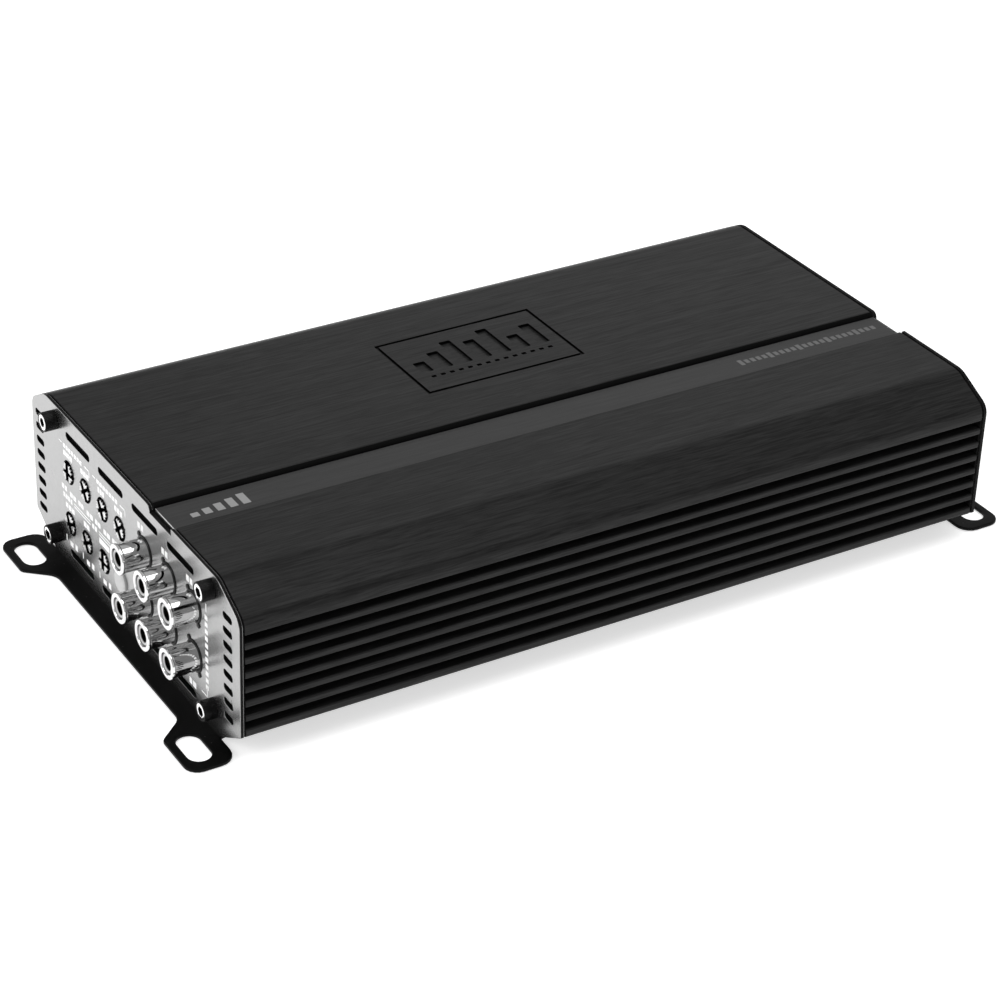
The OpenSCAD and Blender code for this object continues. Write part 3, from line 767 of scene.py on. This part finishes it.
def build_control_plate():
    holes = plate_holes()
    holes += [circle(p, COLLAR_R + 0.1) for p in RCA_PLACE]
    holes += [circle(p, POT_HOLE_R) for p in POT_PLACE + [BUTTON_PLACE]]
    bm = bmesh.new()
    slab(bm, end_outline(0), holes, -END_X, PLATE_T - END_X, 0.1, steps=2, rim=1)
    piece("control_plate", bm, [PLATE, EDGE], stands_for=["control_end_plate"])


def build_terminal_plate():
    holes = plate_holes()
    for name in ("speaker_block", "power_block", "fuse_holder"):
        lo, hi = box_mm(name)
        low = (FUSE_PORT_LOW if name == "fuse_holder" else lo.z) - PORT_GAP
        top = hi.z + PORT_GAP
        left, right = lo.y - PORT_GAP, hi.y + PORT_GAP
        holes.append(rounded([(left, low, 0.4), (right, low, 0.4), (right, top, 0.4),
                              (left, top, 0.4)], 3))
    bm = bmesh.new()
    slab(bm, end_outline(0), holes, END_X - PLATE_T, END_X, 0.1, steps=2, rim=1, turn=1)
    piece("terminal_plate", bm, [PLATE, EDGE],
          stands_for=["terminal_end_plate"])


def build_end_screws():
    """Hexagon-socket screws: black, finely knurled, polished by the key round the hexagon."""
    bm = bmesh.new()
    hexagon_r, polished_r = 1.45, 2.25
    knurls, knurl_depth = 48, 0.05
    for side in (-1, 1):
        head = CAP_H if side < 0 else LOW_HEAD_H
        depth = 0.55 * head
        face, back = side * (END_X + head), side * END_X
        for y in (-SCREW_Y, SCREW_Y):
            for z in SCREW_Z:
                knurl = []
                for i in range(2 * knurls):
                    a = math.radians(180 / knurls * i)
                    r = CAP_R - (knurl_depth if i % 2 else 0)
                    knurl.append((y + r * math.cos(a), z + r * math.sin(a)))
                polished = circle((y, z), polished_r, 48)
                hexagon = circle((y, z), hexagon_r, 6)
                slab(bm, knurl, [polished], min(face, back), max(face, back), 0.22, steps=3)
                low, high = sorted((face - side * (depth + 0.1), face - side * 0.05))
                slab(bm, polished, [hexagon], low, high, 0.12, steps=2, face=1, turn=1)
                floor_x = face - side * depth
                lathe(bm, [(floor_x, 0), (floor_x, polished_r)], (y, z), 12, closed=False)
                tail = side * (END_X - 9)
                shank = [(back, 0), (back, SHANK_R), (tail, SHANK_R), (tail, 0)]
                lathe(bm, shank, (y, z), 24, closed=False)
    piece("cap_screws", bm, [OXIDE, WORN], stands_for=["end_screws"])


# ---------------------------------------------------------------- sockets

def build_sockets():
    mouth = MOUTH_X
    inner = RCA_R - SHELL_WALL
    for i, place in enumerate(RCA_PLACE):
        bm = bmesh.new()
        profile = [(mouth + 0.12, inner), (mouth, inner + 0.15), (mouth, RCA_LIP_R - 0.3),
                   (mouth + 0.09, RCA_LIP_R - 0.09), (mouth + 0.3, RCA_LIP_R),
                   (mouth + 0.8, RCA_LIP_R), (mouth + 0.95, RCA_LIP_R - 0.05),
                   (mouth + 1.0, RCA_R + 0.1), (mouth + 1.1, RCA_R),
                   (-END_X + 6, RCA_R), (-END_X + 6, inner)]
        lathe(bm, profile, place, 64)
        piece(f"socket_shell_{i + 1}", bm, [NICKEL],
              stands_for=[f"rca_shell_{i + 1}"])
    bm = bmesh.new()
    for place in RCA_PLACE:
        profile = [(mouth + 1.6, inner), (mouth + 1.6, inner - 0.3), (mouth + 0.6, inner - 0.3),
                   (mouth + 0.45, inner - 0.42), (mouth + 0.4, inner - 0.55),
                   (mouth + 0.4, BORE_R + 0.18), (mouth + 0.48, BORE_R + 0.05),
                   (mouth + 0.65, BORE_R)]
        lathe(bm, profile, place, 48, closed=False)
        # the bore is given the shade material: painted shade down the socket's hole
        bore = [(mouth + 0.65, BORE_R), (-END_X + 5, BORE_R), (-END_X + 5, inner),
                (mouth + 1.6, inner)]
        lathe(bm, bore, place, 48, index=1, closed=False)
    bmesh.ops.remove_doubles(bm, verts=bm.verts, dist=1e-7)
    piece("socket_insulators", bm, [PALE, SHADE],
          stands_for=["rca_insulators"])
    bm = bmesh.new()
    for place in RCA_PLACE:
        profile = [(mouth + 4.0, 1.5), (mouth + 4.1, 1.68), (mouth + 4.3, 1.72),
                   (-END_X + 4.5, 1.72), (-END_X + 4.5, 0), (-END_X + 4, 0),
                   (-END_X + 4, 1.4), (mouth + 4.1, 1.4)]
        lathe(bm, profile, place, 32)
        for angle in (-28, 92, 212):
            a = math.radians(angle)
            leaf = (place[0] + 1.62 * math.cos(a), place[1] + 1.62 * math.sin(a))
            bar(bm, ALONG_X, leaf, (0.34, 0.6), mouth + 1.3, mouth + 4.2)
    piece("socket_contacts", bm, [BRASS], stands_for=["rca_contacts"])

    lo, hi = box_mm("rca_housing")
    housing_x = -END_X + PLATE_T
    bm = bmesh.new()
    body = rounded([(lo.y, lo.z, 0.6), (hi.y, lo.z, 0.6), (hi.y, hi.z, 0.6), (lo.y, hi.z, 0.6)], 4)
    slab(bm, body, [circle(p, RCA_R, 32) for p in RCA_PLACE], housing_x, hi.x, 0.3)
    front = -END_X - COLLAR_OUT
    for place in RCA_PLACE:
        profile = [(front + 0.3, RCA_R), (front, RCA_R + 0.12), (front, COLLAR_R - 0.25),
                   (front + 0.08, COLLAR_R - 0.07), (front + 0.25, COLLAR_R),
                   (housing_x + 0.2, COLLAR_R), (housing_x + 0.2, RCA_R)]
        lathe(bm, profile, place, 64)
        for s in (-1, 1):
            peg = (place[0] + s * 2.9, place[1] + s * 4.1)
            lathe(bm, [(front, 0), (front, 0.62), (front + 0.06, 0.75), (front + 0.2, 0.8),
                       (-END_X + 0.2, 0.8), (-END_X + 0.2, 0)], peg, 24, closed=False)
    piece("socket_housing", bm, [BLACK], stands_for=["rca_housing"])


# ---------------------------------------------------------------- controls

def toothed(radius, depth, teeth, start, end):
    """Points of a toothed rim from start to end degrees, about the origin."""
    points = []
    pitch = 360 / teeth
    for k in range(teeth):
        for part, r in ((0.0, radius - depth), (0.28, radius), (0.72, radius)):
            a = (k + part) * pitch
            if start < a < end:
                points.append((r * math.cos(math.radians(a)), r * math.sin(math.radians(a))))
    return points


def build_shafts():
    """Toothed split shafts: the teeth and the cut ends are bright steel; the cuts, the slot floors
    and the tooth gaps carry painted shade.
    """
    tip = -END_X - SHAFT_OUT
    foot = -END_X + 6
    split, driver, slot_depth = 0.5, 0.95, 2.2
    teeth, tooth = 18, 0.55
    low = math.degrees(math.asin(driver / SHAFT_R))
    high = math.degrees(math.acos(split / SHAFT_R))
    rim = [(SHAFT_R * math.cos(math.radians(low)), driver)]
    rim += toothed(SHAFT_R, tooth, teeth, low, high)
    rim.append((split, SHAFT_R * math.sin(math.radians(high))))
    for i, (place, rest) in enumerate(zip(POT_PLACE, POT_REST)):
        bm = bmesh.new()
        slab(bm, toothed(SHAFT_R, tooth, teeth, -1, 361), [], tip + slot_depth, foot, 0.0, steps=1,
             face=1, rim=1)
        for sy, sz in ((1, 1), (-1, 1), (-1, -1), (1, -1)):
            quarter = [(sy * u, sz * v) for u, v in [(split, driver)] + rim]
            slab(bm, quarter, [], tip, tip + slot_depth, 0.07, steps=1, rim=1)
        # painted shade on every face but those at the rim; the outer tooth faces keep the steel
        for f in bm.faces:
            middle = f.calc_center_median() / MM
            if math.hypot(middle.y, middle.z) > SHAFT_R - 0.1:
                f.material_index = 0
        turn = Matrix.Rotation(math.radians(rest), 4, "X")
        turn.translation = MM * Vector((0, *place))
        bm.transform(turn)
        piece(f"control_shaft_{i + 1}", bm, [SHAFT, SHADE], body=f"pot_shaft_{i + 1}",
              stands_for=[f"pot_shaft_{i + 1}"])
    lo, hi = box_mm("mode_button")
    bm = bmesh.new()
    cap = BUTTON_R
    profile = [(lo.x + 0.15, 0), (lo.x + 0.05, cap - 1.0), (lo.x, cap - 0.7),
               (lo.x + 0.08, cap - 0.3), (lo.x + 0.35, cap), (-END_X + 2, cap),
               (-END_X + 2, 1.7), (hi.x, 1.7), (hi.x, 0)]
    lathe(bm, profile, BUTTON_PLACE, 48, closed=False)
    piece("button_cap", bm, [SHADED_WHITE], body="mode_button",
          stands_for=["mode_button"])


# ---------------------------------------------------------------- printed marks

def build_marks():
    """White marks on the control plate: lines, ticks and blank label blocks, no lettering."""
    bm = bmesh.new()

    def mark(y, z, length, height=0.42):
        bar(bm, ALONG_X, (y, z), (length, height), -END_X - INK_T, -END_X)

    def blocks(y0, y1, z, height, count, gap=0.45):
        pitch = (y1 - y0) / count
        for i in range(count):
            mark(y0 + pitch * (i + 0.5), z, abs(pitch) - gap, height)

    # a bracket, a caption and two labels over each pair of upper shafts
    for first, last in ((45.0, 25.3), (23.1, 2.6)):
        mark(first - 0.9, 39.0, 1.8)
        mark(last + 1.6, 39.0, 3.2)
        mark(last, 38.1, 0.42, 2.0)
        blocks(first - 2.4, last + 4.6, 38.8, 1.3, 7)
    for y, half in ((39.5, 3.0), (28.4, 2.8), (17.9, 2.2), (6.9, 2.6)):
        blocks(y + half, y - half, 36.5, 1.6, 3, 0.35)
    # scale ends under the upper shafts
    for y, _ in POT_PLACE[:4]:
        blocks(y + 5.2, y + 1.4, 25.2, 1.5, 2, 0.4)
        blocks(y - 0.2, y - 4.6, 25.0, 1.5, 2, 0.4)
    # captions and double lines between the rows
    for first, last, count in ((43.8, 37.4, 4), (24.8, 21.2, 2)):
        blocks(first, last, 22.8, 1.5, count)
    for first, last in ((36.4, 25.6), (20.2, 13.0)):
        for z in (23.2, 22.3):
            mark((first + last) / 2, z, first - last, 0.36)
    blocks(42.4, 36.2, 20.2, 1.5, 3)
    blocks(30.4, 26.4, 20.4, 1.6, 2, 0.3)
    mark(17.0, 20.6, 6.2, 1.7)
    # scale ends under the lower shafts
    for y, _ in POT_PLACE[4:]:
        mark(y + 3.2, 9.3, 0.5, 1.9)
        mark(y - 0.1, 8.7, 2.0, 1.5)
        mark(y - 3.3, 9.2, 1.5, 1.8)
    # channel marks beside the sockets
    for y, z in RCA_PLACE[:3]:
        mark(y + 3.0, z + 6.6, 1.5, 1.8)
        mark(y + 1.0, z + 6.6, 1.5, 1.8)
    for y, z in RCA_PLACE[3:]:
        mark(y + 2.4, z - 9.0, 1.5, 1.8)
        mark(y + 0.2, z - 9.0, 1.9, 1.8)
    # bracket with a caption along the front of the sockets
    bracket_y = -44.9
    mark(bracket_y, 36.3, 0.4, 2.4)
    for i in range(11):
        mark(bracket_y, 33.4 - 2.1 * i, 1.6, 1.3)
    mark(bracket_y, 10.9, 0.4, 2.8)
    mark(-43.3, 9.6, 3.4, 0.4)
    piece("plate_marks", bm, [INK])


# ---------------------------------------------------------------- carried-over CAD nodes

def soften(node, width, material, name):
    """A copy of a CAD node with its flat faces joined and its sharp edges rounded."""
    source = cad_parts[node]
    bm = bmesh.new()
    bm.from_mesh(source.data)
    bmesh.ops.remove_doubles(bm, verts=bm.verts, dist=1e-6)
    bmesh.ops.dissolve_limit(bm, angle_limit=math.radians(1), verts=bm.verts, edges=bm.edges)
    bend = math.radians(40)
    sharp = [e for e in bm.edges if len(e.link_faces) == 2 and e.calc_face_angle(0) > bend]
    bmesh.ops.bevel(bm, geom=sharp, offset=width * MM, segments=2, profile=0.5, affect="EDGES",
                    clamp_overlap=True)
    piece(name, bm, [material], stands_for=[node])


def paint(material, *nodes):
    """Gives CAD nodes whose shape is right their finish."""
    for node in nodes:
        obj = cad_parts[node]
        obj.data.materials.clear()
        obj.data.materials.append(material)


def build_rest():
    soften("speaker_block", 0.25, BLACK, "speaker_terminal")
    soften("power_block", 0.3, BLACK, "power_terminal")
    soften("fuse_holder", 0.25, BLACK, "fuse_socket")
    soften("upper_fuse", 0.25, FUSE, "fuse_upper")
    soften("lower_fuse", 0.25, FUSE, "fuse_lower")
    paint(RUBBER, "control_gasket", "terminal_gasket")
    paint(OXIDE, "base_screws")
    paint(BOARD, "main_board", "control_board")
    paint(ZINC, "board_screws", "speaker_screws", "power_screws", "clamp_bars", "clamp_screws")
    paint(SHEET, "insulation_sheet")
    paint(BRASS, "control_spacers", "speaker_clamps", "power_clamps")
    paint(BLACK, "board_header", "mode_switch", *[f"pot_body_{i}" for i in range(1, 8)])
    paint(EPOXY, "power_transistors")
    paint(SILICONE, "thermal_pads")
    paint(CAN, "filter_capacitors", "small_capacitors")
    paint(COPPER, "output_inductors", "toroid_winding")
    paint(FERRITE, "toroid_core")


# ---------------------------------------------------------------- studio

# the camera's angles in degrees, its distance and target in millimetres
AZIMUTH = -30.277
ELEVATION = 29.322
ROLL = 1.223
TARGET = (-12.64, 31.46, 24.97)
DISTANCE = 825.3
LENS = 104.334
SHIFT = (0.0859, -0.0811)

# the floor in metres, and how brightly it and the sky shine
FLOOR_HALF = 4.0
FLOOR_Z = -0.0002
FLOOR_GLOW = 0.6
SKY = 0.5


def build_camera():
    a, e, r = (math.radians(v) for v in (AZIMUTH, ELEVATION, ROLL))
    back = Vector((math.sin(a) * math.cos(e), -math.cos(a) * math.cos(e), math.sin(e)))
    level = (-back).cross(Vector((0, 0, 1))).normalized()
    upright = level.cross(-back)
    right = math.cos(r) * level + math.sin(r) * upright
    up = -math.sin(r) * level + math.cos(r) * upright
    data = bpy.data.cameras.new("camera")
    data.sensor_width = 36
    data.lens = LENS
    data.shift_x, data.shift_y = SHIFT
    data.clip_start, data.clip_end = 0.01, 20
    camera = bpy.data.objects.new("camera", data)
    axes = Matrix((right, up, back)).transposed().to_4x4()
    axes.translation = MM * (Vector(TARGET) + DISTANCE * back)
    camera.matrix_world = axes
    bpy.context.scene.collection.objects.link(camera)
    bpy.context.scene.camera = camera


def area_light(name, place, size, power):
    """A soft rectangular light that faces the middle of the object."""
    data = bpy.data.lights.new(name, "AREA")
    data.shape = "RECTANGLE"
    data.size, data.size_y = size
    data.energy = power
    light = bpy.data.objects.new(name, data)
    light.location = place
    light.rotation_mode = "QUATERNION"
    light.rotation_quaternion = Vector(place).to_track_quat("Z", "Y")
    bpy.context.scene.collection.objects.link(light)


def build_studio():
    s = Shader("floor_paper", grey(0.9), 0.9, specular=0.05)
    s.colour(s.noise((3, 3, 3), detail=2), [(0.3, 0.88), (0.7, 0.91)])
    s.set("Emission Color", (1, 1, 1, 1))
    s.set("Emission Strength", FLOOR_GLOW)
    bm = bmesh.new()
    corners = [(-FLOOR_HALF, -FLOOR_HALF), (FLOOR_HALF, -FLOOR_HALF), (FLOOR_HALF, FLOOR_HALF),
               (-FLOOR_HALF, FLOOR_HALF)]
    bm.faces.new([bm.verts.new((x, y, FLOOR_Z)) for x, y in corners])
    mesh = bpy.data.meshes.new("floor")
    bm.to_mesh(mesh)
    bm.free()
    floor = bpy.data.objects.new("floor", mesh)
    mesh.materials.append(s.material)
    bpy.context.scene.collection.objects.link(floor)

    world = bpy.data.worlds.new("studio")
    world.use_nodes = True
    bpy.context.scene.world = world
    background = world.node_tree.nodes["Background"]
    background.inputs["Color"].default_value = (1, 1, 1, 1)
    background.inputs["Strength"].default_value = SKY
    area_light("rear_softbox", (1.1, 1.5, 0.9), (1.0, 0.8), 1.0)
    area_light("left_softbox", (-1.6, 0.2, 0.9), (1.0, 1.0), 11)
    area_light("top_softbox", (0.1, -0.4, 1.8), (1.2, 1.2), 11)
    bpy.context.scene.view_settings.view_transform = "Standard"


build_camera()
build_case()
build_tray()
build_control_plate()
build_terminal_plate()
build_end_screws()
build_sockets()
build_shafts()
build_marks()
build_rest()
build_studio()
